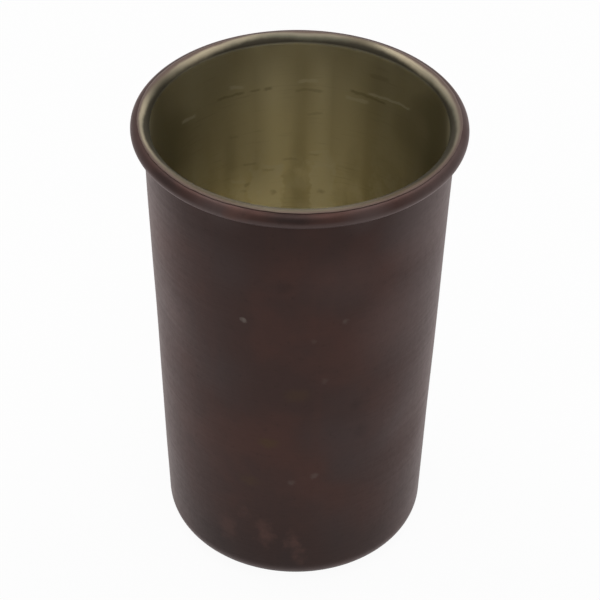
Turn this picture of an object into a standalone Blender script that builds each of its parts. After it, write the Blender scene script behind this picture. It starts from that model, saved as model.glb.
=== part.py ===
"""Tin-lined copper shot cup with a wired rim, made of its three separate pieces.

The copper shell is one drawn sheet: a foot with a shallow kick, a rounded corner, a tapering wall and a rim
that is rolled outwards round a wire. A tin lining covers the whole inside and laps over the rim's crown.

Metres, +Z up. The origin is the middle of the foot, on the surface that the cup stands on. Z is the axis.
"""

import math

import bmesh
import bpy
from mathutils import Vector

# Driving sizes, in metres.
CUP_HEIGHT = 0.0700  # from the table to the top of the lined rim
RIM_RADIUS = 0.02305  # out to the widest point of the rolled rim
FOOT_RADIUS = 0.0189  # outside of the wall, carried down to the foot's corner
CORNER_RADIUS = 0.0037  # outside rounding between the wall and the foot
SHEET = 0.0007  # copper sheet
TIN = 0.0002  # tin lining
BOND_GAP = 0.00005  # between the copper and the tin wiped on it
WIRE_RADIUS = 0.00045  # wire inside the rim
WIRE_CLEARANCE = 0.00005  # between the wire and the sheet rolled round it
WIRE_BUTT_GAP = 0.0004  # between the two ends of the bent wire
TUCK_GAP = 0.0001  # between the sheet's rolled-in edge and the wall
KICK_HEIGHT = 0.0006  # how far the middle of the foot is pushed up
KICK_RADIUS = 0.0120  # how far the pushed-up part reaches
LINING_LAP = math.radians(14)  # how far the tin runs past the crown of the rim

# How finely round shapes are divided.
TURN_STEPS = 60  # round the cup's axis
ARC_STEP = math.radians(18)  # along an arc of the profile
ARC_STEPS_LEAST = 3
WIRE_ROUNDNESS = 1  # bevel resolution of the wire's section
WIRE_BUTT_AT = math.radians(90)  # the butt sits at the back
MERGE = 1e-7
SHARP_ANGLE = math.radians(40)

# Sizes that follow from the driving ones. Profile points are (radius, height).
WIRE_SEAT = WIRE_RADIUS + WIRE_CLEARANCE  # radius of the hollow that the sheet forms
ROLL_RADIUS = WIRE_SEAT + SHEET  # outside of the rolled sheet
LINING_DEPTH = SHEET + BOND_GAP  # from the cup's outside to the back of the tin
ROLL_CENTRE = Vector((RIM_RADIUS - ROLL_RADIUS, CUP_HEIGHT - TIN - BOND_GAP - ROLL_RADIUS))
CORNER_CENTRE = Vector((FOOT_RADIUS - CORNER_RADIUS, CORNER_RADIUS))


def wall_lean():
    """Angle from the axis to the wall, which is tangent to the foot's corner and to the wire's seat."""
    reach = ROLL_CENTRE - CORNER_CENTRE
    towards = math.atan2(reach.y, reach.x)
    return math.acos((CORNER_RADIUS + WIRE_SEAT) / reach.length) - towards


def roll_end():
    """Angle at which the rolled sheet stops, just before its edge would meet the wall."""
    short_of_wall = math.acos((WIRE_SEAT - TUCK_GAP) / ROLL_RADIUS)
    return short_of_wall - math.pi - wall_lean()


def arc(centre, radius, start, end, facing):
    """Points on an arc with unit normals, which point from the centre if facing is 1 and to it if -1."""
    steps = max(ARC_STEPS_LEAST, math.ceil(abs(end - start) / ARC_STEP))
    points = []
    for step in range(steps + 1):
        angle = start + (end - start) * step / steps
        away = Vector((math.cos(angle), math.sin(angle)))
        points.append((centre + away * radius, away * facing))
    return points


def outside_face(last_angle):
    """The cup's outside, from the middle of the foot to that angle round the wire, as points with normals."""
    swing = 2 * math.atan(KICK_HEIGHT / KICK_RADIUS)
    bend = KICK_RADIUS / (2 * math.sin(swing))
    up, down = math.pi / 2, -math.pi / 2
    kick = arc(Vector((0, KICK_HEIGHT - bend)), bend, up, up - swing, -1)
    kick += arc(Vector((KICK_RADIUS, bend)), bend, down - swing, down, 1)
    corner = arc(CORNER_CENTRE, CORNER_RADIUS, down, -wall_lean(), 1)
    roll = arc(ROLL_CENTRE, WIRE_SEAT, math.pi - wall_lean(), last_angle, -1)
    return kick + corner + roll


def layer(face, near, far):
    """Outline of a layer of sheet behind a face, between two depths, with its ends at the face's start."""
    inside = [point - normal * far for point, normal in face]
    outside = [point - normal * near for point, normal in face]
    return inside + outside[::-1]


def turned(name, outline):
    """A solid turned about Z from an outline whose ends lie on the axis."""
    shape = bmesh.new()
    line = [shape.verts.new((radius, 0, height)) for radius, height in outline]
    edges = [shape.edges.new(pair) for pair in zip(line, line[1:])]
    bmesh.ops.spin(
        shape,
        geom=line + edges,
        cent=(0, 0, 0),
        axis=(0, 0, 1),
        angle=math.tau,
        steps=TURN_STEPS,
        use_merge=True,
    )
    bmesh.ops.remove_doubles(shape, verts=shape.verts, dist=MERGE)
    bmesh.ops.recalc_face_normals(shape, faces=shape.faces)
    mesh = bpy.data.meshes.new(name)
    shape.to_mesh(mesh)
    shape.free()
    mesh.shade_smooth()
    mesh.set_sharp_from_angle(angle=SHARP_ANGLE)
    return bpy.data.objects.new(name, mesh)


def bent_wire(name):
    """A ring of round wire with its two ends butted, lying along the middle of the rolled rim."""
    ring, height = ROLL_CENTRE
    half_gap = WIRE_BUTT_GAP / 2 / ring
    turns = [math.tau * step / TURN_STEPS for step in range(1, TURN_STEPS)]
    curve = bpy.data.curves.new(name, "CURVE")
    curve.dimensions = "3D"
    curve.bevel_depth = WIRE_RADIUS
    curve.bevel_resolution = WIRE_ROUNDNESS
    curve.use_fill_caps = True
    spline = curve.splines.new("POLY")
    spline.points.add(TURN_STEPS)
    for point, turn in zip(spline.points, [half_gap, *turns, math.tau - half_gap]):
        angle = WIRE_BUTT_AT + turn
        point.co = (ring * math.cos(angle), ring * math.sin(angle), height, 1)
    return bpy.data.objects.new(name, curve)


def finish(name, colour, metallic, roughness):
    """A plain metal surface."""
    material = bpy.data.materials.new(name)
    material.use_nodes = True
    surface = material.node_tree.nodes["Principled BSDF"]
    surface.inputs["Base Color"].default_value = (*colour, 1)
    surface.inputs["Metallic"].default_value = metallic
    surface.inputs["Roughness"].default_value = roughness
    return material


def clear_scene():
    for old in list(bpy.data.objects):
        bpy.data.objects.remove(old)


def main():
    clear_scene()
    cup = bpy.data.objects.new("shot_cup", None)
    bpy.context.scene.collection.objects.link(cup)

    lap_end = math.pi / 2 - LINING_LAP
    shell = turned("copper_shell", layer(outside_face(roll_end()), 0, SHEET))
    lining = turned("tin_lining", layer(outside_face(lap_end), LINING_DEPTH, LINING_DEPTH + TIN))
    wire = bent_wire("rim_wire")

    finishes = {
        shell: finish("brown_patina", (0.075, 0.042, 0.034), 0.7, 0.42),
        lining: finish("aged_tin", (0.42, 0.37, 0.24), 1.0, 0.34),
        wire: finish("bare_copper_wire", (0.62, 0.30, 0.18), 1.0, 0.45),
    }
    for piece, material in finishes.items():
        piece.data.materials.append(material)
        piece.parent = cup
        bpy.context.scene.collection.objects.link(piece)


main()
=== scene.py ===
# Tin-lined copper cup with a rolled rim: its surfaces, floor, light and camera. Metres, +Z up.
import math

import bmesh
import bpy
from mathutils import Matrix, Vector


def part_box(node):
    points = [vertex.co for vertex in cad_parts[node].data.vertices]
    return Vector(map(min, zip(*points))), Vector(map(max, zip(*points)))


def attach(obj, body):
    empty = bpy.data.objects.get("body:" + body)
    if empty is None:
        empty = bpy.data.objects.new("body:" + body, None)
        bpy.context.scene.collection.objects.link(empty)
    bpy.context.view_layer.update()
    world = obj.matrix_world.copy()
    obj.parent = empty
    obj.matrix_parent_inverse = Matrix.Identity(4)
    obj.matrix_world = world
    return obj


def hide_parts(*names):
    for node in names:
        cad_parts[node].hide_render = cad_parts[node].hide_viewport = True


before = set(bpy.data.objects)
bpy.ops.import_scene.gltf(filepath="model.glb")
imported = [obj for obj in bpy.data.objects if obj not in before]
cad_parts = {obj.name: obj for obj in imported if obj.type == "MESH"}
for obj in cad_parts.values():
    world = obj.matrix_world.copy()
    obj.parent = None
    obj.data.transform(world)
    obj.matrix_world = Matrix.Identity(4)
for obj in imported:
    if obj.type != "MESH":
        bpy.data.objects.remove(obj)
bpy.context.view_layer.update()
scene = bpy.context.scene
mmPerMetre = 1000  # the finishes are laid out in millimetres
print("frame:", ", ".join(sorted(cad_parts)))


# An output socket. Sums written on it become Math nodes in its tree.
class Wire:
    def __init__(self, board, link):
        self.board = board
        self.link = link

    def sum(self, operation, *values):
        return self.board.node("ShaderNodeMath", {"operation": operation}, dict(enumerate(values)))

    def __add__(self, other):
        return self.sum("ADD", self, other)

    def __radd__(self, other):
        return self.sum("ADD", other, self)

    def __sub__(self, other):
        return self.sum("SUBTRACT", self, other)

    def __rsub__(self, other):
        return self.sum("SUBTRACT", other, self)

    def __mul__(self, other):
        return self.sum("MULTIPLY", self, other)

    def __rmul__(self, other):
        return self.sum("MULTIPLY", other, self)

    def __truediv__(self, other):
        return self.sum("DIVIDE", self, other)

    def __rtruediv__(self, other):
        return self.sum("DIVIDE", other, self)

    def __mod__(self, other):
        return self.sum("FLOORED_MODULO", self, other)

    def __rmod__(self, other):
        return self.sum("FLOORED_MODULO", other, self)

    def __pow__(self, other):
        return self.sum("POWER", self, other)

    def __rpow__(self, other):
        return self.sum("POWER", other, self)

    def __abs__(self):
        return self.sum("ABSOLUTE", self)

    def most(self, other):
        return self.sum("MAXIMUM", self, other)

    # 0 up to start and 1 from full on, eased between them; start may be the larger one
    def ease(self, start, full):
        sockets = {"Value": self, "From Min": start, "From Max": full}
        if start > full:
            sockets = {"Value": self, "From Min": full, "From Max": start, "To Min": 1, "To Max": 0}
        return self.board.node("ShaderNodeMapRange", {"interpolation_type": "SMOOTHSTEP"}, sockets)

    def share(self, start, full, strength):
        return self.ease(start, full) * strength

    # noise lies about 0.5, and this swings it to both sides of 0
    def swing(self, size):
        return (self - 0.5) * size


# A node tree with one way to add a node: its type, its settings, then its sockets
class Board:
    def __init__(self, tree):
        self.tree = tree
        tree.nodes.clear()

    def node(self, kind, settings=None, sockets=None, out=0):
        made = self.tree.nodes.new(kind)
        for name, value in (settings or {}).items():
            setattr(made, name, value)
        for name, value in (sockets or {}).items():
            if isinstance(value, Wire):
                self.tree.links.new(value.link, made.inputs[name])
            else:
                made.inputs[name].default_value = value
        return Wire(self, made.outputs[out] if made.outputs else None)

    def mix(self, share, first, second):
        under, over = [value if isinstance(value, Wire) else (*value, 1) for value in (first, second)]
        return self.node("ShaderNodeMix", {"data_type": "RGBA"}, {0: share, 6: under, 7: over}, out=2)

    def vector(self, operation, first, second, out=0):
        return self.node("ShaderNodeVectorMath", {"operation": operation}, {0: first, 1: second}, out)

    def noise(self, points, size, detail=2.0, rough=0.5, stretch=(1, 1, 1), shift=(0, 0, 0)):
        laid = {"Vector": points, "Scale": stretch, "Location": shift}
        mapped = self.node("ShaderNodeMapping", None, laid)
        sockets = {"Vector": mapped, "Scale": 1 / size, "Detail": detail, "Roughness": rough}
        return self.node("ShaderNodeTexNoise", None, sockets)


# Outlines are (radius, height) points along the outside of the sheet, each with the way the surface faces
cup = dict(
    footRadius=0.0189,
    cornerRadius=0.0037,
    sheet=0.0007,
    tin=0.0002,
    bondGap=0.00005,
    wireRadius=0.00045,
    wireClearance=0.00005,
    wireButtGap=0.0004,
    tuckGap=0.0001,
    kickHeight=0.0006,
    kickRadius=0.0120,
    liningLap=math.radians(14),
    lapFrom=math.radians(135),  # turn round the roll at which the lap begins
    lapReach=1.5,  # and how many roll radii away a point still belongs to it
    lapThin=0.8,
    thinFrom=0.72,
    arcStep=math.radians(5),
    arcSteps=4,
    kickSteps=8,
    wallStep=0.0015,
    turnSteps=256,
    wireSteps=193,
    wireSides=20,
    sharpAngle=math.radians(40),
)
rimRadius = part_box("copper_shell")[1].x
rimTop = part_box("tin_lining")[1].z
wireSeat = cup["wireRadius"] + cup["wireClearance"]
rollRadius = wireSeat + cup["sheet"]
liningBack = cup["sheet"] + cup["bondGap"]
rollCentre = Vector((rimRadius - rollRadius, rimTop - cup["tin"] - cup["bondGap"] - rollRadius))
cornerCentre = Vector((cup["footRadius"] - cup["cornerRadius"], cup["cornerRadius"]))
rollReach = rollCentre - cornerCentre
rollRise = math.atan2(rollReach.y, rollReach.x)
wallLean = math.acos((cup["cornerRadius"] + wireSeat) / rollReach.length) - rollRise


def arcOf(centre, radius, start, end, facing, least=cup["arcSteps"]):
    steps = max(least, math.ceil(abs(end - start) / cup["arcStep"]))
    turns = [start + (end - start) * step / steps for step in range(steps + 1)]
    ways = [Vector((math.cos(turn), math.sin(turn))) for turn in turns]
    return [(centre + way * radius, way * facing) for way in ways]


def outsideOf(lastTurn):
    swing = 2 * math.atan(cup["kickHeight"] / cup["kickRadius"])
    bend = cup["kickRadius"] / (2 * math.sin(swing))
    up, down = math.pi / 2, -math.pi / 2
    kick = arcOf(Vector((0, cup["kickHeight"] - bend)), bend, up, up - swing, -1, cup["kickSteps"])
    kick += arcOf(Vector((cup["kickRadius"], bend)), bend, down - swing, down, 1, cup["kickSteps"])[1:]
    corner = arcOf(cornerCentre, cup["cornerRadius"], down, -wallLean, 1)
    roll = arcOf(rollCentre, wireSeat, math.pi - wallLean, lastTurn, -1)
    foot, way = corner[-1]
    run = roll[0][0] - foot
    steps = math.ceil(run.length / cup["wallStep"])
    wall = [(foot + run * step / steps, way) for step in range(1, steps)]
    return kick + corner + wall + roll


# How far a point has gone over the crown of the rim: 0 up to the inner side, 1 at the end of the lap
def lapShare(point, lapEnd):
    way = point - rollCentre
    turn = math.atan2(way.y, way.x)
    if way.length >= rollRadius * cup["lapReach"] or turn <= 0:
        return 0
    return min(1, max(0, (cup["lapFrom"] - turn) / (cup["lapFrom"] - lapEnd)))


# A layer of sheet behind the face, between two depths; one that laps over the rim thins out to its edge
def layerLine(name, face, near, far, lapEnd=None):
    shares = [lapShare(point - way * near, lapEnd) if lapEnd else 0 for point, way in face]
    feather = [max(0, share - cup["thinFrom"]) / (1 - cup["thinFrom"]) for share in shares]
    depths = [near + (far - near) * (1 - cup["lapThin"] * share) for share in feather]
    inside = [point - way * depth for (point, way), depth in zip(face, depths)]
    outside = [point - way * near for point, way in face]
    points = inside + outside[::-1]
    mesh = bpy.data.meshes.new(name)
    edges = [(step, step + 1) for step in range(len(points) - 1)]
    mesh.from_pydata([(radius, 0, height) for radius, height in points], edges, [])
    lap = mesh.attributes.new("lap", "FLOAT", "POINT")
    lap.data.foreach_set("value", shares + shares[::-1])
    return mesh


# Turns an outline about Z. The wall between foot and rim is a little out of true, as hand work is.
lathe = dict(
    drumRadius=0.02,  # noise and dents are laid out on a drum about as wide as the wall
    sway=0.00012,
    swaySize=1.3,
    swayDetail=1.0,
    upPace=0.6,  # how fast the noise changes up the wall, next to round it
    seed=4.0,
    waver=math.radians(6),
    waverSize=9.0,
    waverDetail=3.0,
    waverRough=0.6,
    lapLean=math.radians(17),  # how much further over the rim the tin reaches in front than at the back
    fadeLow=(0.004, 0.013),  # heights between which sway and dents come, and go again
    fadeHigh=(0.066, 0.056),
    weld=1e-6,
    dents=[  # turn in degrees, height, width, depth
        (-38, 0.024, 0.0075, 0.00022),
        (-152, 0.041, 0.0090, 0.00020),
        (64, 0.019, 0.0070, 0.00025),
        (118, 0.047, 0.0085, 0.00018),
    ],
)


# A new tree with named inputs, and with one piece as its output
def pieceTree(name, ends):
    tree = bpy.data.node_groups.new(name, "GeometryNodeTree")
    for end, kind in ends.items():
        tree.interface.new_socket(end, in_out="INPUT", socket_type=kind)
    tree.interface.new_socket("Piece", in_out="OUTPUT", socket_type="NodeSocketGeometry")
    board = Board(tree)
    return board, {end: board.node("NodeGroupInput", None, None, end) for end in ends}


def endPiece(board, piece, finish):
    piece = board.node("GeometryNodeRealizeInstances", None, {"Geometry": piece})
    piece = board.node("GeometryNodeSetMaterial", None, {"Geometry": piece, "Material": finish})
    board.node("NodeGroupOutput", None, {"Piece": piece})
    return board.tree


def latheTree():
    board, take = pieceTree("latheTurn", {
        "Outline": "NodeSocketGeometry",
        "Steps": "NodeSocketInt",
        "Sway": "NodeSocketFloat",
        "Sway Size": "NodeSocketFloat",
        "Seed": "NodeSocketFloat",
        "Lap Waver": "NodeSocketFloat",
        "Lap Lean": "NodeSocketFloat",
        "Roll Radius": "NodeSocketFloat",
        "Roll Height": "NodeSocketFloat",
        "Finish": "NodeSocketMaterial",
    })
    counted = {"Geometry": take["Outline"]}
    rows = board.node("GeometryNodeAttributeDomainSize", None, counted, "Point Count")
    grid = board.node("GeometryNodeMeshGrid", None, {"Vertices X": take["Steps"] + 1, "Vertices Y": rows})
    index = board.node("GeometryNodeInputIndex")
    row = index % rows
    turn = (index / rows).sum("FLOOR", index / rows) / take["Steps"] * math.tau
    place = board.node("GeometryNodeInputPosition")
    lapOfPoint = board.node("GeometryNodeInputNamedAttribute", {"data_type": "FLOAT"}, {"Name": "lap"})

    def fromOutline(kind, value):
        sockets = {"Geometry": take["Outline"], "Value": value, "Index": row}
        return board.node("GeometryNodeSampleIndex", {"data_type": kind, "domain": "POINT"}, sockets)

    outline = fromOutline("FLOAT_VECTOR", place)
    lap = fromOutline("FLOAT", lapOfPoint)
    radius = board.node("ShaderNodeSeparateXYZ", None, {0: outline}, "X")
    height = board.node("ShaderNodeSeparateXYZ", None, {0: outline}, "Z")
    cosine = turn.sum("COSINE", turn)
    sine = turn.sum("SINE", turn)

    # one push for every layer at the same turn and height, so that they stay nested
    drum = lathe["drumRadius"]
    ring = {"X": cosine * drum, "Y": sine * drum}
    onWall = board.node("ShaderNodeCombineXYZ", None, {**ring, "Z": height})
    seededHeight = height * lathe["upPace"] + take["Seed"]
    seeded = board.node("ShaderNodeCombineXYZ", None, {**ring, "Z": seededHeight})
    sway = {"Vector": seeded, "Scale": take["Sway Size"] / drum, "Detail": lathe["swayDetail"]}
    push = board.node("ShaderNodeTexNoise", None, sway).swing(take["Sway"] * 2)
    for degrees, dentHeight, width, depth in lathe["dents"]:
        angle = math.radians(degrees)
        centre = (drum * math.cos(angle), drum * math.sin(angle), dentHeight)
        push = push + board.vector("DISTANCE", onWall, centre, "Value").share(width, 0, depth)
    push = push * height.ease(*lathe["fadeLow"]) * height.ease(*lathe["fadeHigh"])

    # the wiped edge of the tin wanders round the roll
    waver = {"Vector": seeded, "Scale": lathe["waverSize"] / drum}
    waver.update({"Detail": lathe["waverDetail"], "Roughness": lathe["waverRough"]})
    wander = board.node("ShaderNodeTexNoise", None, waver).swing(take["Lap Waver"] * 2)
    atBack = (sine + 1) / 2
    wander = (wander + atBack ** 2 * take["Lap Lean"]) * lap
    across = radius - take["Roll Radius"]
    upward = height - take["Roll Height"]
    cosWander = wander.sum("COSINE", wander)
    sinWander = wander.sum("SINE", wander)
    newRadius = take["Roll Radius"] + across * cosWander - upward * sinWander - push
    newHeight = take["Roll Height"] + across * sinWander + upward * cosWander

    turned = {"X": cosine * newRadius, "Y": sine * newRadius, "Z": newHeight}
    moved = board.node("ShaderNodeCombineXYZ", None, turned)
    piece = board.node("GeometryNodeSetPosition", None, {"Geometry": grid, "Position": moved})
    piece = board.node("GeometryNodeMergeByDistance", None, {"Geometry": piece, "Distance": lathe["weld"]})
    return endPiece(board, piece, take["Finish"])


# A ring of wire, open by the gap between its two ends
def wireTree():
    board, take = pieceTree("bentWire", {
        "Ring Radius": "NodeSocketFloat",
        "Wire Radius": "NodeSocketFloat",
        "Butt Gap": "NodeSocketFloat",
        "Height": "NodeSocketFloat",
        "Finish": "NodeSocketMaterial",
    })
    gap = take["Butt Gap"] / take["Ring Radius"]
    bend = {"Resolution": cup["wireSteps"], "Radius": take["Ring Radius"]}
    bend.update({"Start Angle": math.pi / 2 + gap / 2, "Sweep Angle": math.tau - gap})
    path = board.node("GeometryNodeCurveArc", {"mode": "RADIUS"}, bend)
    circle = {"Resolution": cup["wireSides"], "Radius": take["Wire Radius"]}
    section = board.node("GeometryNodeCurvePrimitiveCircle", None, circle)
    tube = {"Curve": path, "Profile Curve": section, "Fill Caps": True}
    piece = board.node("GeometryNodeCurveToMesh", None, tube)
    lift = board.node("ShaderNodeCombineXYZ", None, {"Z": take["Height"]})
    piece = board.node("GeometryNodeTransform", None, {"Geometry": piece, "Translation": lift})
    return endPiece(board, piece, take["Finish"])


# Runs a tree on a mesh and keeps the result as a plain mesh with its faces outwards
def grown(name, tree, startMesh, values):
    maker = bpy.data.objects.new(name, startMesh)
    scene.collection.objects.link(maker)
    modifier = maker.modifiers.new("make", "NODES")
    modifier.node_group = tree
    for item in tree.interface.items_tree:
        if item.in_out == "INPUT" and item.name in values:
            modifier[item.identifier] = values[item.name]
    ready = maker.evaluated_get(bpy.context.evaluated_depsgraph_get())
    mesh = bpy.data.meshes.new_from_object(ready)
    mesh.name = name
    maker.modifiers.remove(modifier)
    shape = bmesh.new()
    shape.from_mesh(mesh)
    bmesh.ops.recalc_face_normals(shape, faces=shape.faces)
    shape.to_mesh(mesh)
    shape.free()
    mesh.shade_smooth()
    mesh.set_sharp_from_angle(angle=cup["sharpAngle"])
    maker.data = mesh
    print(name, len(mesh.vertices), "points")
    return maker


def newMaterial(name):
    material = bpy.data.materials.new(name)
    material.use_nodes = True
    return material, Board(material.node_tree)


# Object coordinates in millimetres
def pointsOf(board):
    metres = board.node("ShaderNodeTexCoord", None, None, "Object")
    return board.node("ShaderNodeVectorMath", {"operation": "SCALE"}, {0: metres, "Scale": mmPerMetre})


def axesOf(board, points):
    return [board.node("ShaderNodeSeparateXYZ", None, {0: points}, axis) for axis in "XYZ"]


def noisesOf(board, points, finish):
    return {name: board.noise(points, **settings) for name, settings in finish["noises"].items()}


# Lays one of a finish's noises over a colour, as a film of another tone
def filmOver(board, colour, noises, finish, name):
    start, full, strength, tone = finish["films"][name]
    return board.mix(noises[name].share(start, full, strength), colour, finish[tone])


# The strongest of several shares at each place
def strongest(shares):
    found = shares[0]
    for share in shares[1:]:
        found = found.most(share)
    return found


# Radius of the outside at a height, both in mm; above the wall it is that of the roll
def outsideRadius(height):
    metres = height / mmPerMetre
    if metres > rollCentre.y - rollRadius:
        return rimRadius * mmPerMetre
    return mmPerMetre * (cup["footRadius"] + (metres - cup["cornerRadius"]) * math.tan(wallLean))


# Marks given one by one, each as turn in degrees, height in mm, size in mm and strength
def marksOn(board, points, marks, soft, tall=1.0, depth=0.0):
    squeezed = board.vector("MULTIPLY", points, (1, 1, 1 / tall))
    shares = []
    for degrees, height, size, strength in marks:
        angle = math.radians(degrees)
        reach = outsideRadius(height) - depth
        centre = (reach * math.cos(angle), reach * math.sin(angle), height / tall)
        away = board.vector("DISTANCE", squeezed, centre, "Value")
        shares.append(away.share(size, size * soft, strength))
    return strongest(shares)


# The same points, shaken a little so that what is drawn with them gets ragged edges
def shaken(board, points, size, reach, detail=3.0):
    sockets = {"Vector": points, "Scale": 1 / size, "Detail": detail}
    swirl = board.node("ShaderNodeTexNoise", None, sockets, "Color")
    shift = board.vector("SUBTRACT", swirl, (0.5, 0.5, 0.5))
    return board.vector("ADD", points, board.vector("MULTIPLY", shift, (reach, reach, reach)))


# Rings left by the spinning tool, drawn by the distance from the axis
def spunRings(board, radius, size):
    across = board.node("ShaderNodeCombineXYZ", None, {"X": radius})
    return board.noise(across, size, detail=3, rough=0.6)


# The surface of a metal, with its relief in mm
def metalOf(board, colour, roughness, metallic, relief, others=None):
    normal = board.node("ShaderNodeBump", None, {"Height": relief, "Distance": 1 / mmPerMetre})
    sockets = {"Base Color": colour, "Roughness": roughness, "Metallic": metallic, "Normal": normal}
    surface = board.node("ShaderNodeBsdfPrincipled", None, {**sockets, **(others or {})})
    board.node("ShaderNodeOutputMaterial", None, {"Surface": surface})


# Outside of the copper: dark brown, with redder and greyer clouds, specks and rubbed places, and with
# painted shade and painted sheen.
# Heights and radii are in mm, and a pair is where something starts and where it is full.
patina = dict(
    brown=(0.0385, 0.0210, 0.0180),
    red=(0.054, 0.0248, 0.0195),
    grey=(0.041, 0.0290, 0.0280),
    sootAndShade=(0.015, 0.0100, 0.0090),
    ochre=(0.056, 0.0320, 0.0155),
    rubbed=(0.080, 0.040, 0.032),
    hazeAndSheen=(0.080, 0.058, 0.055),
    scale=(0.135, 0.112, 0.098),
    edgeTint=(1.0, 0.89, 0.88),
    bareCopper=(0.30, 0.145, 0.092),
    metallic=0.9,
    roughness=0.44,
    coat=0.08,
    coatRoughness=0.35,
    noises=dict(
        clouds=dict(size=14, detail=3, rough=0.55),
        ashes=dict(size=22, shift=(31, 5, 12)),
        drips=dict(size=3.0, detail=3, rough=0.6, stretch=(1, 1, 0.10), shift=(8, 2, 4)),
        grain=dict(size=0.9, detail=4, rough=0.65, shift=(1, 9, 3)),
        rings=dict(size=1.0, stretch=(0.04, 0.04, 2.2)),
        scrapes=dict(size=4.5, detail=5, rough=0.65, shift=(2, 5, 1)),
    ),
    spunSize=0.5,
    loose=dict(size=1.2, reach=1.1),
    mottled=dict(size=1.8, reach=3.8, detail=4.0),
    films=dict(  # where in the noise a film starts and is full, its strength and its tone
        clouds=(0.42, 0.66, 0.80, "red"),
        ashes=(0.48, 0.70, 0.70, "grey"),
        drips=(0.45, 0.75, 0.25, "red"),
        grain=(0.58, 0.80, 0.30, "sootAndShade"),
    ),
    underHeights=(1.6, 0.7),
    underSoot=(0.45, 0.70, 0.5),
    belts=[  # heights between which a belt comes or goes, its strength and its tone
        # painted shade below the roll
        ([(57.0, 64.5), (67.6, 66.9)], 0.32, "sootAndShade"),
        # painted reflection: paler along the lower roll
        ([(67.2, 67.8), (68.9, 68.4)], 0.50, "hazeAndSheen"),
        ([(69.0, 69.6)], 0.25, "red"),
        # painted shade towards the foot
        ([(22.0, 3.0)], 0.54, "sootAndShade"),
    ],
    # painted shade of the contact shadow along the foot; it also dulls and roughens the metal
    contactShade=dict(heights=(2.2, 0.9), dark=0.5, rough=0.3, dull=0.7),
    wear=dict(
        heights=(0.22, 0.0),
        radii=(10.8, 12.4),
        scrapes=(0.36, 0.68, 0.5),
        rings=(0.40, 0.70, 0.25),
    ),
    roughBy=dict(grain=0.16, turned=0.10, specks=0.2),
    reliefBy=dict(grain=0.014, turned=0.010, specks=0.012),
    specks=[  # turn, height, size and strength, as in the lists below
        (-110.4, 49.8, 0.60, 0.80),
        (-71.3, 50.1, 0.70, 0.24),
        (-83.4, 47.2, 0.50, 0.12),
        (-78.7, 39.8, 0.80, 0.13),
        (-23.1, 38.9, 1.10, 0.22),
        (-91.5, 20.5, 0.80, 0.22),
        (-81.5, 21.8, 0.80, 0.30),
        (62.0, 44.0, 0.60, 0.60),
        (104.0, 27.5, 0.90, 0.30),
        (158.0, 52.0, 0.60, 0.45),
        (139.0, 16.0, 0.80, 0.30),
        (21.0, 13.5, 0.70, 0.35),
    ],
    ochres=[
        (-100.8, 27.9, 2.0, 0.70),
        (-89.2, 37.3, 2.6, 0.35),
        (-108.8, 19.8, 2.2, 0.35),
        (128.0, 33.0, 2.8, 0.50),
        (48.0, 23.0, 2.2, 0.45),
    ],
    rubs=[
        (-120.6, 8.6, 1.9, 0.34),
        (-102.5, 9.8, 1.8, 0.52),
        (-90.5, 8.2, 1.6, 0.52),
        (-88.7, 6.0, 1.4, 0.36),
        (-111.8, 13.0, 1.3, 0.20),
        (74.0, 8.0, 1.8, 0.55),
        (101.0, 10.0, 1.5, 0.50),
        (30.0, 8.5, 1.6, 0.50),
        (170.0, 9.0, 1.7, 0.50),
    ],
    rimRubs=[(-111.0, 68.6, 2.2, 0.60)],
    # dark spots; the large ones at the lower corners and low on the left are painted shade
    blotsAndShades=[
        (-94.2, 56.7, 1.6, 0.24),
        (-65.2, 34.1, 1.5, 0.26),
        (-62.1, 28.9, 1.8, 0.24),
        (-140.0, 22.0, 1.8, 0.30),
        (88.0, 38.0, 1.8, 0.36),
        (12.0, 47.0, 1.6, 0.34),
        (-166.0, 22.0, 10.0, 0.30),
        (-131.0, 5.0, 6.0, 0.40),
        (-48.0, 5.0, 6.0, 0.40),
        (-152.0, 10.0, 9.0, 0.42),
        (-28.0, 10.0, 9.0, 0.42),
        (-170.0, 49.0, 7.0, 0.28),
    ],
    # dark line along the top of the roll: a painted dark reflection in front, sooty at the back
    rimSootAndShade=[
        (-92.0, 69.3, 5.0, 0.70),
        (-140.0, 69.3, 4.0, 0.45),
        (70.0, 69.3, 5.0, 0.50),
        (150.0, 69.3, 4.0, 0.40),
    ],
    # greyer places; those towards the sides and along the lower roll are painted sheen
    hazesAndSheens=[
        (-34.0, 64.0, 12.0, 0.90),
        (-44.0, 47.0, 11.0, 0.40),
        (-158.0, 62.0, 9.0, 0.75),
        (-72.0, 57.0, 8.0, 0.15),
        (-66.0, 68.0, 5.0, 0.55),
        (-118.0, 68.0, 5.5, 0.50),
        (-20.0, 68.5, 6.0, 0.70),
        (6.0, 68.8, 7.0, 0.75),
        (120.0, 50.0, 9.0, 0.35),
    ],
)


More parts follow.
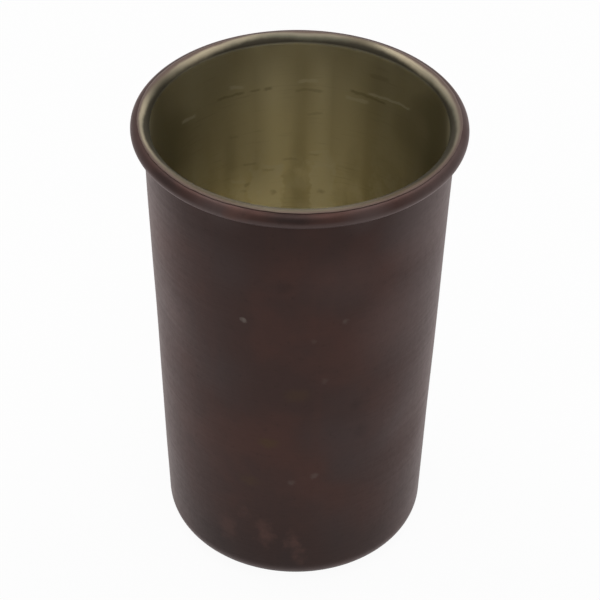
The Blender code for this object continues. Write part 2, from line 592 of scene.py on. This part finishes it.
def brownPatina():
    material, board = newMaterial("brownPatina")
    points = pointsOf(board)
    x, y, z = axesOf(board, points)
    radius = (x * x + y * y) ** 0.5
    noises = noisesOf(board, points, patina)
    grain = noises["grain"]
    loose = shaken(board, points, **patina["loose"])
    mottled = shaken(board, points, **patina["mottled"])
    spun = spunRings(board, radius, patina["spunSize"])
    under = z.ease(*patina["underHeights"])
    turned = noises["rings"] + (spun - noises["rings"]) * under

    colour = patina["brown"]
    for name in ("clouds", "ashes", "drips"):
        colour = filmOver(board, colour, noises, patina, name)
    colour = board.mix(under * spun.share(*patina["underSoot"]), colour, patina["sootAndShade"])

    # greyer places, partly painted sheen; painted shade below the roll and towards the foot, a paler
    # painted reflection along the lower roll, and a redder line along the edge of the tin
    colour = board.mix(marksOn(board, points, patina["hazesAndSheens"], soft=0.1), colour, patina["hazeAndSheen"])
    for slopes, belt, tone in patina["belts"]:
        for start, full in slopes:
            belt = z.ease(start, full) * belt
        colour = board.mix(belt, colour, patina[tone])

    ochres = marksOn(board, loose, patina["ochres"], soft=0.2, tall=0.7)
    rubs = marksOn(board, mottled, patina["rubs"], soft=0.1, tall=2.2)
    rimRubs = marksOn(board, mottled, patina["rimRubs"], soft=0.1, tall=1.5)
    blotsAndShades = marksOn(board, loose, patina["blotsAndShades"], soft=0.2)
    rimSootAndShade = marksOn(board, loose, patina["rimSootAndShade"], soft=0.2, tall=0.2)
    specks = marksOn(board, loose, patina["specks"], soft=0.1)
    colour = board.mix(ochres, colour, patina["ochre"])
    colour = board.mix(rubs.most(rimRubs), colour, patina["rubbed"])
    colour = board.mix(blotsAndShades, colour, patina["sootAndShade"])
    colour = board.mix(rimSootAndShade, colour, patina["sootAndShade"])
    colour = filmOver(board, colour, noises, patina, "grain")
    colour = board.mix(specks, colour, patina["scale"])

    # painted shade of the contact shadow along the foot, which also dulls and roughens the metal there,
    # and the ring that the cup stands on is worn to the copper
    wear = patina["wear"]
    contactShade = z.ease(*patina["contactShade"]["heights"])
    colour = board.mix(contactShade * patina["contactShade"]["dark"], colour, patina["sootAndShade"])
    onRing = z.ease(*wear["heights"]) * radius.ease(*wear["radii"])
    worn = onRing * (noises["scrapes"].share(*wear["scrapes"]) + spun.share(*wear["rings"]))
    colour = board.mix(worn, colour, patina["bareCopper"])
    contactShade = (1 - worn) * contactShade

    roughBy = patina["roughBy"]
    reliefBy = patina["reliefBy"]
    roughness = patina["roughness"] + grain.swing(roughBy["grain"]) + turned.swing(roughBy["turned"])
    roughness = roughness + specks * roughBy["specks"] + contactShade * patina["contactShade"]["rough"]
    metallic = patina["metallic"] - contactShade * patina["contactShade"]["dull"]
    relief = grain.swing(reliefBy["grain"]) + turned.swing(reliefBy["turned"])
    relief = relief + specks * reliefBy["specks"]
    film = {"Coat Weight": patina["coat"], "Coat Roughness": patina["coatRoughness"]}
    film["Specular Tint"] = (*patina["edgeTint"], 1)
    metalOf(board, colour, roughness, metallic, relief, film)
    return material


# Inside: old tin gone olive, wiped down the wall in streaks, with worn pale metal on the lip; painted
# shade on the sides, towards the rim and on the shoulder under the lip, and painted highlights on the lip
agedTin = dict(
    olive=(0.780, 0.724, 0.556),
    dull=(0.668, 0.612, 0.449),
    bright=(0.950, 0.900, 0.732),
    bare=(0.950, 0.920, 0.815),
    tarnishAndShade=(0.33, 0.300, 0.195),
    stain=(0.30, 0.255, 0.15),
    # painted shade on the shoulder under the lip
    shoulderShade=(0.042, 0.036, 0.026),
    lipInner=(0.135, 0.128, 0.090),
    lip=(0.238, 0.205, 0.150),
    lipHighlight=(0.46, 0.390, 0.270),
    lipCopper=(0.135, 0.092, 0.076),
    lipWorn=(0.086, 0.062, 0.036),
    lipHighlights=[  # painted highlights on the crown; turn in degrees, width and strength, as in all lists of bands
        (146, 10, 0.3), (132, 24, 0.9), (114, 16, 0.4), (46, 28, 0.9), (24, 22, 0.4),
        (178, 18, 0.7), (-162, 20, 0.6),
    ],
    lipWears=[
        (-50, 60, 0.98), (-122, 48, 0.86), (-90, 45, 0.56), (-8, 30, 0.4), (66, 12, 0.6), (158, 18, 0.6),
    ],
    leans=[(138, 54, 0.74), (36, 60, 0.62), (86, 36, 0.60)],  # mm by which the pale lip, with its painted highlight, lies further in
    reaches=[(-90, 70, 0.16)],  # and further out
    spreads=[(-90, 70, 0.45)],  # mm by which its inner end is drawn in
    pulls=[(-34, 42, 0.55), (-158, 30, 0.34), (130, 24, 0.12), (50, 18, 0.10)],  # and drawn out
    lipRagged=0.35,
    lipFrom=(-0.90, -0.42),  # mm from the middle of the roll, where the lip starts and is full
    lipInnerFrom=(-0.20, -0.60),
    lipCopperFrom=(-0.20, 0.20),
    lipDull=0.7,
    shoulderHeights=(68.36, 68.96),
    shoulderShadeShare=0.98,
    roughness=0.32,
    roughBy=dict(grain=0.05, streaks=0.06, floor=0.12, lip=0.14, shoulderShade=0.30),
    reliefBy=dict(grain=0.0015, dashes=0.003, floor=0.007, light=0.02, dark=0.015, rubbed=0.006),
    specular=0.2,
    edgeTint=(0.86, 0.84, 0.79),
    noises=dict(
        wide=dict(size=7.0, detail=1, rough=0.4, stretch=(1, 1, 0.06), shift=(4, 4, 4)),
        streaks=dict(size=4.0, detail=2, rough=0.4, stretch=(1, 1, 0.05)),
        grain=dict(size=0.7, detail=4, rough=0.65),
        dashes=dict(size=1.0, stretch=(0.20, 0.20, 2.6), shift=(2, 6, 9)),
        patches=dict(size=3.0, detail=3, rough=0.6, shift=(9, 1, 7)),
        rubbing=dict(size=2.0, detail=3, rough=0.65, stretch=(1, 1, 0.6), shift=(6, 2, 8)),
        residue=dict(size=5.5, detail=4, rough=0.6, shift=(3, 7, 0)),
    ),
    spunSize=0.7,
    loose=dict(size=1.0, reach=1.0),
    cloudy=dict(size=9.0, reach=9.0, detail=0.5),
    films=dict(  # where in the noise a film starts and is full, its strength and its tone
        streaks=(0.25, 0.72, 1.0, "olive"),
        wide=(0.40, 0.72, 0.4, "bright"),
        dashes=(0.58, 0.76, 0.16, "stain"),
        grain=(0.60, 0.80, 0.06, "stain"),
    ),
    # painted shade, darker towards the rim
    rimShade=(50, 69, 0.45),
    bandHeights=(69, 60),
    rubbed=dict(noise=(0.46, 0.66), below=(56, 45, 0.3), mottle=0.3),
    floor=dict(heights=(3.9, 2.0), rings=(0.35, 0.70, 0.25), tarnishAndShade=0.2),
    residue=dict(heights=(6.0, 2.2), noise=(0.50, 0.68, 0.6)),
    lineWaver=1.2,
    lineSoft=0.3,
    lineEnd=1,  # degrees over which the end of a line fades
    sideRagged=13,  # degrees by which the sides of a place wander, and mm by which its ends do
    endRagged=7,
    sideSoft=1,
    lowSoft=3,
    highSoft=1,
    bands=[(101, 13, 1.0), (114, 14, 0.5), (81, 8, 0.8), (72, 12, 0.5), (-52, 20, 0.9), (-116, 14, 0.6)],
    darkBands=[(52, 14, 0.3), (132, 12, 0.3), (-86, 10, 0.6)],
    strips=[  # turn, height, size and strength
        (90.5, 47.0, 1.9, 0.32),
        (67, 44.0, 1.6, 0.16),
        (121, 47.0, 1.6, 0.20),
        (109, 45.0, 1.0, 0.12),
    ],
    darkLines=[  # turn and height at each end, width and strength
        (126, 61.6, 114, 61.4, 0.32, 0.45),
        (111, 61.3, 107, 61.2, 0.32, 0.40),
        (105, 61.1, 102, 61.2, 0.40, 0.48),
        (92, 60.9, 81, 60.9, 0.36, 0.30),
        (69, 61.6, 53, 61.3, 0.34, 0.50),
        (61, 65.2, 52, 65.5, 0.50, 0.28),
        (87, 56.9, 81, 57.1, 0.30, 0.20),
        (121, 54.4, 117, 54.0, 0.30, 0.18),
        (97, 49.0, 91, 48.9, 0.32, 0.24),
        (86, 50.0, 82, 50.1, 0.30, 0.20),
        (115, 49.3, 109, 49.0, 0.32, 0.24),
        (106, 47.7, 101, 47.5, 0.30, 0.20),
        (-50, 58.5, -78, 58.9, 0.36, 0.40),
        (-95, 58.8, -124, 58.4, 0.36, 0.38),
        (-66, 36.0, -84, 36.3, 0.40, 0.40),
    ],
    lightLines=[
        (146, 60.8, 138, 60.5, 0.40, 0.60),
        (120, 62.8, 114, 62.2, 0.40, 0.55),
        (91, 62.3, 83, 62.4, 0.40, 0.45),
        (61, 62.0, 40, 62.7, 0.34, 0.65),
        (71, 60.4, 61, 60.5, 0.40, 0.50),
        (85.6, 50.3, 77.8, 50.7, 0.40, 0.50),
        (85, 47.9, 76.3, 48.3, 0.40, 0.50),
        (105.4, 48.2, 97, 47.9, 0.40, 0.60),
        (121, 46.9, 114, 46.1, 0.35, 0.45),
        (-70, 59.6, -100, 59.9, 0.40, 0.50),
    ],
    # the large clouds at both sides are painted shade, the rest tarnish
    clouds=[
        (164, 60.0, 12.0, 0.90),
        (170, 47.0, 10.0, 0.80),
        (16, 60.0, 12.0, 0.90),
        (10, 47.0, 10.0, 0.80),
        (-24, 66.0, 8.0, 0.90),
        (-45, 67.0, 6.0, 0.80),
        (-162, 66.0, 8.0, 0.90),
        (-96, 61.0, 7.0, 0.45),
        (-58, 40.0, 8.0, 0.40),
        (-130, 26.0, 9.0, 0.45),
        (75, 22.0, 9.0, 0.40),
        (50, 46.0, 6.0, 0.20),
    ],
    bared=[  # turn at both sides, height at both ends and strength
        (97, 111, 33.0, 48.3, 0.85),
        (76, 86, 31.0, 50.0, 0.75),
        (113.5, 119.5, 37.0, 46.2, 0.50),
        (-82, -60, 20.0, 41.0, 0.50),
    ],
    tarnished=[
        (86.0, 96.5, 28.0, 46.0, 0.22),
        (68, 75, 30.0, 44.0, 0.14),
        (-120, -104, 24.0, 38.0, 0.35),
    ],
    scuffs=[
        (107, 43.5, 3.0, 0.70),
        (97, 43.0, 1.8, 0.40),
        (76, 42.8, 2.6, 0.60),
        (118, 46.5, 2.4, 0.45),
        (90, 45.5, 2.0, 0.40),
        (66, 45.0, 2.2, 0.40),
        (-110, 30.0, 4.0, 0.50),
        (-60, 46.0, 3.5, 0.40),
    ],
    pits=[
        (113.4, 45.6, 0.70, 0.40),
        (115.2, 44.6, 0.60, 0.34),
        (101.5, 43.4, 0.80, 0.36),
        (80.3, 43.5, 0.90, 0.34),
        (-145, 40.0, 0.80, 0.45),
        (-40, 55.0, 0.70, 0.45),
    ],
)


# Upright bands, strongest in the middle
def bandsAt(turn, bands):
    shares = []
    for degrees, width, strength in bands:
        away = abs((turn - degrees + 180) % 360 - 180)
        shares.append(away.share(width, 0, strength))
    return strongest(shares)


# Scratches that run round the wall
def linesAt(turn, height, lines):
    fade = agedTin["lineEnd"]
    shares = []
    for start, startHeight, end, endHeight, width, strength in lines:
        slope = (endHeight - startHeight) / (end - start)
        level = (turn - start) * slope + startHeight
        along = turn.ease(start + fade, start - fade) * turn.ease(end - fade, end + fade)
        shares.append(abs(height - level).ease(width, width * agedTin["lineSoft"]) * along * strength)
    return strongest(shares)


# Upright places with ragged edges
def placesAt(turn, height, places):
    side, lower, upper = agedTin["sideSoft"], agedTin["lowSoft"], agedTin["highSoft"]
    shares = []
    for start, end, low, high, strength in places:
        sides = turn.ease(start - side, start + side) * turn.ease(end + side, end - side)
        ends = height.ease(low - lower, low + lower) * height.ease(high + upper, high - upper)
        shares.append(sides * ends * strength)
    return strongest(shares)


# Colour of the lip, pale on the crown with painted highlights, copper where the tin is thin and more worn
# in front, and its share
def lipOf(board, turn, edge):
    edge = edge + bandsAt(turn, agedTin["leans"]) - bandsAt(turn, agedTin["reaches"])
    lip = board.mix(edge.ease(*agedTin["lipInnerFrom"]), agedTin["lip"], agedTin["lipInner"])
    lip = board.mix(bandsAt(turn, agedTin["lipHighlights"]), lip, agedTin["lipHighlight"])
    lip = board.mix(bandsAt(turn, agedTin["lipWears"]), lip, agedTin["lipWorn"])
    lip = board.mix(edge.ease(*agedTin["lipCopperFrom"]), lip, agedTin["lipCopper"])
    innerEnd = edge - bandsAt(turn, agedTin["pulls"]) + bandsAt(turn, agedTin["spreads"])
    return lip, innerEnd.ease(*agedTin["lipFrom"])


def oldTin():
    material, board = newMaterial("oldTin")
    points = pointsOf(board)
    x, y, z = axesOf(board, points)
    radius = (x * x + y * y) ** 0.5
    turn = x.sum("ARCTAN2", y, x) * math.degrees(1)
    noises = noisesOf(board, points, agedTin)
    grain = noises["grain"]
    patches = noises["patches"]
    loose = shaken(board, points, **agedTin["loose"])
    cloudy = shaken(board, points, **agedTin["cloudy"])
    spun = spunRings(board, radius, agedTin["spunSize"])
    inWall = mmPerMetre * (liningBack + cup["tin"])

    # tarnish and streaks; the clouds at both sides and the darkening towards the rim are painted shade
    clouds = marksOn(board, cloudy, agedTin["clouds"], soft=0.3, tall=1.6, depth=inWall)
    bands = bandsAt(turn, agedTin["bands"]) * z.ease(*agedTin["bandHeights"])
    strips = marksOn(board, points, agedTin["strips"], soft=0.2, tall=8, depth=inWall)
    scuffs = marksOn(board, loose, agedTin["scuffs"], soft=0.3, tall=1.4, depth=inWall)
    colour = filmOver(board, agedTin["dull"], noises, agedTin, "streaks")
    colour = filmOver(board, colour, noises, agedTin, "wide")
    colour = board.mix(clouds.most(z.share(*agedTin["rimShade"])), colour, agedTin["tarnishAndShade"])
    colour = board.mix(bands, colour, agedTin["bright"])
    colour = board.mix(bandsAt(turn, agedTin["darkBands"]), colour, agedTin["dull"])
    colour = board.mix(strips, colour, agedTin["tarnishAndShade"])
    colour = filmOver(board, colour, noises, agedTin, "dashes")
    colour = board.mix(scuffs, colour, agedTin["bright"])

    # places rubbed bare or filmed over, then pits and scratches
    ragged = turn + patches.swing(agedTin["sideRagged"])
    tattered = z + patches.swing(agedTin["endRagged"])
    waved = z + patches.swing(agedTin["lineWaver"])
    rubbing = noises["rubbing"].ease(*agedTin["rubbed"]["noise"])
    mottle = rubbing * agedTin["rubbed"]["mottle"] + (1 - agedTin["rubbed"]["mottle"])
    rubbed = rubbing * z.share(*agedTin["rubbed"]["below"])
    rubbed = rubbed.most(placesAt(ragged, tattered, agedTin["bared"]) * mottle)
    pits = marksOn(board, loose, agedTin["pits"], soft=0.1, tall=0.8, depth=inWall)
    dark = pits.most(linesAt(turn, waved, agedTin["darkLines"]))
    light = linesAt(turn, waved, agedTin["lightLines"])
    colour = board.mix(rubbed, colour, agedTin["bare"])
    colour = board.mix(placesAt(ragged, tattered, agedTin["tarnished"]), colour, agedTin["tarnishAndShade"])
    colour = board.mix(dark, colour, agedTin["stain"])
    colour = board.mix(light, colour, agedTin["bare"])
    colour = filmOver(board, colour, noises, agedTin, "grain")

    # the floor of the cup, with what has dried there
    floor = agedTin["floor"]
    residue = agedTin["residue"]
    onFloor = z.ease(*floor["heights"])
    floorShare = onFloor * (spun.share(*floor["rings"]) + floor["tarnishAndShade"])
    colour = board.mix(floorShare, colour, agedTin["tarnishAndShade"])
    dried = z.ease(*residue["heights"]) * noises["residue"].share(*residue["noise"])
    colour = board.mix(dried, colour, agedTin["stain"])

    # painted shade on the shoulder under the lip, and the lip above it
    onShoulder = z.ease(*agedTin["shoulderHeights"])
    edge = radius - mmPerMetre * rollCentre.x + patches.swing(agedTin["lipRagged"])
    lip, onLip = lipOf(board, turn, edge)
    onLip = onLip * onShoulder
    colour = board.mix(onShoulder * agedTin["shoulderShadeShare"], colour, agedTin["shoulderShade"])
    colour = board.mix(onLip, colour, lip)

    roughBy = agedTin["roughBy"]
    reliefBy = agedTin["reliefBy"]
    roughness = agedTin["roughness"] + grain.swing(roughBy["grain"])
    roughness = roughness + noises["streaks"].swing(roughBy["streaks"]) + onFloor * roughBy["floor"]
    roughness = roughness + onLip * roughBy["lip"] + (1 - onLip) * onShoulder * roughBy["shoulderShade"]
    metallic = 1 - onLip * agedTin["lipDull"]
    relief = grain.swing(reliefBy["grain"]) + noises["dashes"].swing(reliefBy["dashes"])
    relief = relief + spun.swing(reliefBy["floor"]) * onFloor
    relief = relief + light * reliefBy["light"] - dark * reliefBy["dark"] + rubbed * reliefBy["rubbed"]
    film = {"Specular IOR Level": agedTin["specular"], "Specular Tint": (*agedTin["edgeTint"], 1)}
    metalOf(board, colour, roughness, metallic, relief, film)
    return material


# Wire inside the roll: copper that has dulled
wireFinish = dict(
    copper=(0.55, 0.26, 0.16),
    dull=(0.20, 0.10, 0.07),
    roughness=0.45,
    noises=dict(clouds=dict(size=2.0, detail=3, rough=0.6)),
    films=dict(clouds=(0.35, 0.65, 1.0, "dull")),
    roughBy=0.2,
    reliefBy=0.01,
)


def dullCopper():
    material, board = newMaterial("dullCopper")
    noises = noisesOf(board, pointsOf(board), wireFinish)
    clouds = noises["clouds"]
    colour = filmOver(board, wireFinish["copper"], noises, wireFinish, "clouds")
    roughness = wireFinish["roughness"] + clouds.swing(wireFinish["roughBy"])
    metalOf(board, colour, roughness, 1.0, clouds * wireFinish["reliefBy"])
    return material


turnTree = latheTree()
turning = {
    "Steps": cup["turnSteps"],
    "Sway": lathe["sway"],
    "Sway Size": lathe["swaySize"],
    "Seed": lathe["seed"],
    "Lap Waver": lathe["waver"],
    "Lap Lean": lathe["lapLean"],
    "Roll Radius": rollCentre.x,
    "Roll Height": rollCentre.y,
}
rollEnd = math.acos((wireSeat - cup["tuckGap"]) / rollRadius) - math.pi - wallLean
lapEnd = math.pi / 2 - cup["liningLap"]
shellLine = layerLine("shellLine", outsideOf(rollEnd), 0, cup["sheet"])
liningLine = layerLine("liningLine", outsideOf(lapEnd), liningBack, liningBack + cup["tin"], lapEnd)
shell = grown("copperShell", turnTree, shellLine, {**turning, "Finish": brownPatina()})
lining = grown("tinLining", turnTree, liningLine, {**turning, "Finish": oldTin()})
wireValues = {
    "Ring Radius": rollCentre.x,
    "Wire Radius": cup["wireRadius"],
    "Butt Gap": cup["wireButtGap"],
    "Height": rollCentre.y,
    "Finish": dullCopper(),
}
rimWire = grown("rimWire", wireTree(), bpy.data.meshes.new("wireStart"), wireValues)
for piece, node, slot in (
    (shell, "copper_shell", "brown_patina"),
    (lining, "tin_lining", "aged_tin"),
    (rimWire, "rim_wire", "bare_copper_wire"),
):
    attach(piece, "root")
    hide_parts(node)
print("cup dressed")

# Floor and surroundings: plain and pale, white to the camera and in the metal
stage = dict(
    floorSize=3.0,
    floorDrop=0.0001,  # so that it doesn't touch the foot
    floorColour=(0.95, 0.95, 0.95),
    shadowShare=0.05,
    ambient=0.30,
    white={"Color": (1, 1, 1, 1), "Strength": 1.0},
    lamps=[
        dict(name="leftLamp", place=(-0.30, 0.22, 0.74), size=0.45, watts=1.3),
        dict(name="rightLamp", place=(0.30, 0.22, 0.74), size=0.45, watts=1.2),
        dict(name="frontLamp", place=(0.0, -0.30, 0.80), size=0.50, watts=1.5),
    ],
    lampAim=Vector((0, 0, 0.035)),
)


# 1 for what the camera, metal or glass shows, 0 for light that falls on things
def shownRays(board):
    names = ("Is Camera Ray", "Is Glossy Ray", "Is Transmission Ray")
    first, second, third = [board.node("ShaderNodeLightPath", None, None, name) for name in names]
    return first.most(second).most(third)


def paleFloor():
    material, board = newMaterial("paleFloor")
    plain = board.node("ShaderNodeBsdfDiffuse", None, {"Color": (*stage["floorColour"], 1)})
    white = board.node("ShaderNodeEmission", None, stage["white"])
    share = shownRays(board) * (1 - stage["shadowShare"])
    both = board.node("ShaderNodeMixShader", None, {0: share, 1: plain, 2: white})
    board.node("ShaderNodeOutputMaterial", None, {"Surface": both})
    return material


floorMesh = bpy.data.meshes.new("floor")
half = stage["floorSize"] / 2
corners = [(-half, -half), (half, -half), (half, half), (-half, half)]
floorMesh.from_pydata([(*corner, -stage["floorDrop"]) for corner in corners], [], [(0, 1, 2, 3)])
floorMesh.materials.append(paleFloor())
floor = bpy.data.objects.new("floor", floorMesh)
scene.collection.objects.link(floor)

world = bpy.data.worlds.new("paleRoom")
scene.world = world
world.use_nodes = True
room = Board(world.node_tree)
dim = room.node("ShaderNodeBackground", None, {**stage["white"], "Strength": stage["ambient"]})
white = room.node("ShaderNodeBackground", None, stage["white"])
sky = room.node("ShaderNodeMixShader", None, {0: shownRays(room), 1: dim, 2: white})
room.node("ShaderNodeOutputWorld", None, {"Surface": sky})

for lamp in stage["lamps"]:
    light = bpy.data.lights.new(lamp["name"], "AREA")
    light.shape = "DISK"
    light.size = lamp["size"]
    light.energy = lamp["watts"]
    holder = bpy.data.objects.new(lamp["name"], light)
    holder.location = lamp["place"]
    holder.rotation_euler = (stage["lampAim"] - holder.location).to_track_quat("-Z", "Y").to_euler()
    scene.collection.objects.link(holder)
print("floor and light set")

# Camera at the photograph's angle: turned a little, as the cup leans a little in the picture
lens = dict(
    target=(0.000408, 0, 0.03812),
    distance=0.345,
    elevation=math.radians(38.36),
    roll=math.radians(0.934),
    focal=144.01,
    sensor=36.0,
)
cameraData = bpy.data.cameras.new("camera")
cameraData.lens = lens["focal"]
cameraData.sensor_width = lens["sensor"]
camera = bpy.data.objects.new("camera", cameraData)
back = Vector((0, -math.cos(lens["elevation"]), math.sin(lens["elevation"])))
turnToView = (-back).to_track_quat("-Z", "Y").to_matrix() @ Matrix.Rotation(lens["roll"], 3, "Z")
stand = Vector(lens["target"]) + back * lens["distance"]
camera.matrix_world = Matrix.Translation(stand) @ turnToView.to_4x4()
scene.collection.objects.link(camera)
scene.camera = camera
scene.view_settings.view_transform = "Standard"
